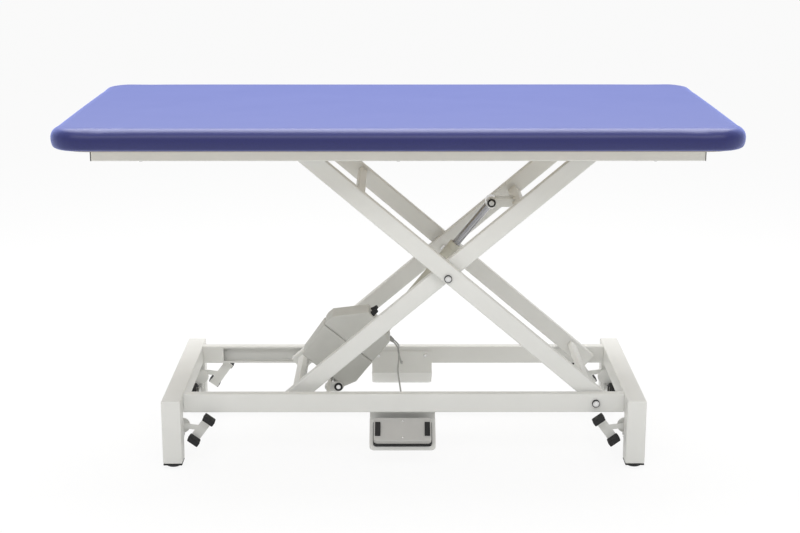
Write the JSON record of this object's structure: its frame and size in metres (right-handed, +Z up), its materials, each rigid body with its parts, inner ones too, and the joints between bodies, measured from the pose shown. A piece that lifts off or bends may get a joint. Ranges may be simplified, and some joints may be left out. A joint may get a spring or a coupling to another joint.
{
  "type": "bobath table",
  "caption": "Wide padded treatment table raised by an electric actuator on a scissor frame, with foot switches and pedals that lower castors.",
  "frame": {"origin": "on the floor under the middle of the pad", "axes": "+X along the pad, +Y away from the front, +Z up"},
  "size_m": [2, 1, 1.0873],
  "materials": {
    "painted_steel": "satin light grey paint",
    "blue_upholstery": "blue-violet leatherette",
    "black_rubber": "matt black",
    "grey_motor_plastic": "fine-grained grey moulding",
    "grey_switch_plastic": "fine-grained light grey moulding",
    "actuator_tube_paint": "satin beige-grey paint",
    "chrome": "polished",
    "zinc_plated_steel": "zinc plated",
    "plywood": "bare plywood",
    "nylon": "natural nylon",
    "grey_cable": "matt grey sheath"
  },
  "bodies": {
    "base": {"left_end_frame": "painted_steel", "right_end_frame": "painted_steel", "front_base_rail": "painted_steel", "rear_base_rail": "painted_steel", "actuator_mount_bar": "painted_steel", "actuator_lower_pin": "zinc_plated_steel", "front_left_foot": "black_rubber", "front_right_foot": "black_rubber", "rear_left_foot": "black_rubber", "rear_right_foot": "black_rubber", "front_switch_bracket": "painted_steel", "front_switch_base": "black_rubber", "front_switch_cover": "grey_switch_plastic", "front_switch_cable": "grey_cable", "front_lower_pivot_bolt": "zinc_plated_steel", "rear_switch_bracket": "painted_steel", "rear_switch_base": "black_rubber", "rear_switch_cover": "grey_switch_plastic", "rear_switch_cable": "grey_cable", "rear_lower_pivot_bolt": "zinc_plated_steel"},
    "outer_arms": {"front_outer_arm": "painted_steel", "rear_outer_arm": "painted_steel", "outer_upper_cross_tube": "painted_steel", "outer_lower_cross_tube": "painted_steel", "upper_roller_axle": "zinc_plated_steel", "front_centre_pivot_bolt": "zinc_plated_steel", "rear_centre_pivot_bolt": "zinc_plated_steel"},
    "inner_arms": {"front_inner_arm": "painted_steel", "rear_inner_arm": "painted_steel", "inner_lower_cross_tube": "painted_steel", "lower_roller_axle": "zinc_plated_steel", "actuator_cross_tube": "painted_steel"},
    "top": {"front_upper_rail": "painted_steel", "rear_upper_rail": "painted_steel", "left_top_cross_bar": "painted_steel", "right_top_cross_bar": "painted_steel", "pad_board": "plywood", "pad": "blue_upholstery"},
    "actuator": {"motor_housing": "grey_motor_plastic", "motor_cover": "grey_motor_plastic"},
    "actuator_tube": {"actuator_tube": "actuator_tube_paint"},
    "actuator_rod": {"actuator_rod": "chrome"},
    "front_lower_roller": {"front_lower_roller": "nylon"},
    "front_upper_roller": {"front_upper_roller": "nylon"},
    "front_switch_button_left": {"front_switch_button_left": "black_rubber"},
    "front_left_castor_fork": {"front_left_castor_fork": "zinc_plated_steel"},
    "front_left_castor_wheel": {"front_left_castor_wheel": "black_rubber"},
    "front_switch_button_right": {"front_switch_button_right": "black_rubber"},
    "front_right_castor_fork": {"front_right_castor_fork": "zinc_plated_steel"},
    "front_right_castor_wheel": {"front_right_castor_wheel": "black_rubber"},
    "rear_lower_roller": {"rear_lower_roller": "nylon"},
    "rear_upper_roller": {"rear_upper_roller": "nylon"},
    "rear_switch_button_left": {"rear_switch_button_left": "black_rubber"},
    "rear_left_castor_fork": {"rear_left_castor_fork": "zinc_plated_steel"},
    "rear_left_castor_wheel": {"rear_left_castor_wheel": "black_rubber"},
    "rear_switch_button_right": {"rear_switch_button_right": "black_rubber"},
    "rear_right_castor_fork": {"rear_right_castor_fork": "zinc_plated_steel"},
    "rear_right_castor_wheel": {"rear_right_castor_wheel": "black_rubber"},
    "left_castor_lever": {"left_castor_lever": "painted_steel"},
    "right_castor_lever": {"right_castor_lever": "painted_steel"}
  },
  "joints": [
    {"name": "lift", "type": "hinge", "parent": "base", "child": "outer_arms", "pos_m": [0.615, 0, 0.188], "axis": [0, 1, 0], "range_deg": [-28.35, 0], "deforming": ["front_switch_cable", "rear_switch_cable"]},
    {"name": "scissor_cross", "type": "hinge", "parent": "outer_arms", "child": "inner_arms", "pos_m": [0.15316, 0, 0.58036], "axis": [0, 1, 0], "range_deg": [0, 56.7]},
    {"name": "top_level", "type": "hinge", "parent": "inner_arms", "child": "top", "pos_m": [0.615, 0, 0.97272], "axis": [0, 1, 0], "range_deg": [-28.35, 0]},
    {"name": "actuator_tilt", "type": "hinge", "parent": "base", "child": "actuator", "pos_m": [-0.194, 0, 0.172], "axis": [0, 1, 0], "range_deg": [0, 21.44]},
    {"name": "tube_slide", "type": "slide", "parent": "actuator", "child": "actuator_tube", "axis": [0.6309, 0, 0.7758], "range_m": [-0.13905, 0]},
    {"name": "rod_slide", "type": "slide", "parent": "actuator_tube", "child": "actuator_rod", "axis": [0.6309, 0, 0.7758], "range_m": [-0.13905, 0]},
    {"name": "front_lower_roll", "type": "hinge", "parent": "inner_arms", "child": "front_lower_roller", "pos_m": [-0.30867, 0, 0.188], "axis": [0, 1, 0], "continuous": true},
    {"name": "front_upper_roll", "type": "hinge", "parent": "outer_arms", "child": "front_upper_roller", "pos_m": [-0.30867, 0, 0.97272], "axis": [0, 1, 0], "continuous": true},
    {"name": "front_button_left", "type": "slide", "parent": "base", "child": "front_switch_button_left", "axis": [0, -0.5807, 0.8141], "range_m": [-0.004, 0], "stiffness_N_per_m": 800},
    {"name": "front_button_right", "type": "slide", "parent": "base", "child": "front_switch_button_right", "axis": [0, -0.5807, 0.8141], "range_m": [-0.004, 0], "stiffness_N_per_m": 800},
    {"name": "rear_lower_roll", "type": "hinge", "parent": "inner_arms", "child": "rear_lower_roller", "pos_m": [-0.30867, 0, 0.188], "axis": [0, 1, 0], "continuous": true},
    {"name": "rear_upper_roll", "type": "hinge", "parent": "outer_arms", "child": "rear_upper_roller", "pos_m": [-0.30867, 0, 0.97272], "axis": [0, 1, 0], "continuous": true},
    {"name": "rear_button_left", "type": "slide", "parent": "base", "child": "rear_switch_button_left", "axis": [0, 0.5807, 0.8141], "range_m": [-0.004, 0], "stiffness_N_per_m": 800},
    {"name": "rear_button_right", "type": "slide", "parent": "base", "child": "rear_switch_button_right", "axis": [0, 0.5807, 0.8141], "range_m": [-0.004, 0], "stiffness_N_per_m": 800},
    {"name": "left_castor_pedal", "type": "hinge", "parent": "base", "child": "left_castor_lever", "pos_m": [-0.699, 0, 0.12], "axis": [0, 1, 0], "range_deg": [0, 14]},
    {"name": "right_castor_pedal", "type": "hinge", "parent": "base", "child": "right_castor_lever", "pos_m": [0.733, 0, 0.12], "axis": [0, -1, 0], "range_deg": [0, 14]},
    {"name": "front_left_castor_swing", "type": "hinge", "parent": "base", "child": "front_left_castor_fork", "pos_m": [-0.699, -0.258, 0.07], "axis": [-1, 0, 0], "range_deg": [0, 27.6]},
    {"name": "front_left_castor_roll", "type": "hinge", "parent": "front_left_castor_fork", "child": "front_left_castor_wheel", "pos_m": [-0.699, -0.19, 0.06], "axis": [1, 0, 0], "continuous": true},
    {"name": "front_right_castor_swing", "type": "hinge", "parent": "base", "child": "front_right_castor_fork", "pos_m": [0.733, -0.258, 0.07], "axis": [-1, 0, 0], "range_deg": [0, 27.6]},
    {"name": "front_right_castor_roll", "type": "hinge", "parent": "front_right_castor_fork", "child": "front_right_castor_wheel", "pos_m": [0.733, -0.19, 0.06], "axis": [1, 0, 0], "continuous": true},
    {"name": "rear_left_castor_swing", "type": "hinge", "parent": "base", "child": "rear_left_castor_fork", "pos_m": [-0.699, 0.258, 0.07], "axis": [1, 0, 0], "range_deg": [0, 27.6]},
    {"name": "rear_left_castor_roll", "type": "hinge", "parent": "rear_left_castor_fork", "child": "rear_left_castor_wheel", "pos_m": [-0.699, 0.19, 0.06], "axis": [1, 0, 0], "continuous": true},
    {"name": "rear_right_castor_swing", "type": "hinge", "parent": "base", "child": "rear_right_castor_fork", "pos_m": [0.733, 0.258, 0.07], "axis": [1, 0, 0], "range_deg": [0, 27.6]},
    {"name": "rear_right_castor_roll", "type": "hinge", "parent": "rear_right_castor_fork", "child": "rear_right_castor_wheel", "pos_m": [0.733, 0.19, 0.06], "axis": [1, 0, 0], "continuous": true}
  ],
  "couplings": [
    {"joint": "scissor_cross", "follows": "lift", "ratio": -2},
    {"joint": "top_level", "follows": "lift", "ratio": 1},
    {"joint": "actuator_tilt", "follows": "lift", "ratio": -0.75616},
    {"joint": "tube_slide", "follows": "lift", "m_per_rad": 0.28101},
    {"joint": "rod_slide", "follows": "lift", "m_per_rad": 0.28101},
    {"joint": "front_left_castor_swing", "follows": "left_castor_pedal", "ratio": 1.9714},
    {"joint": "front_right_castor_swing", "follows": "right_castor_pedal", "ratio": 1.9714},
    {"joint": "rear_left_castor_swing", "follows": "left_castor_pedal", "ratio": 1.9714},
    {"joint": "rear_right_castor_swing", "follows": "right_castor_pedal", "ratio": 1.9714}
  ]
}
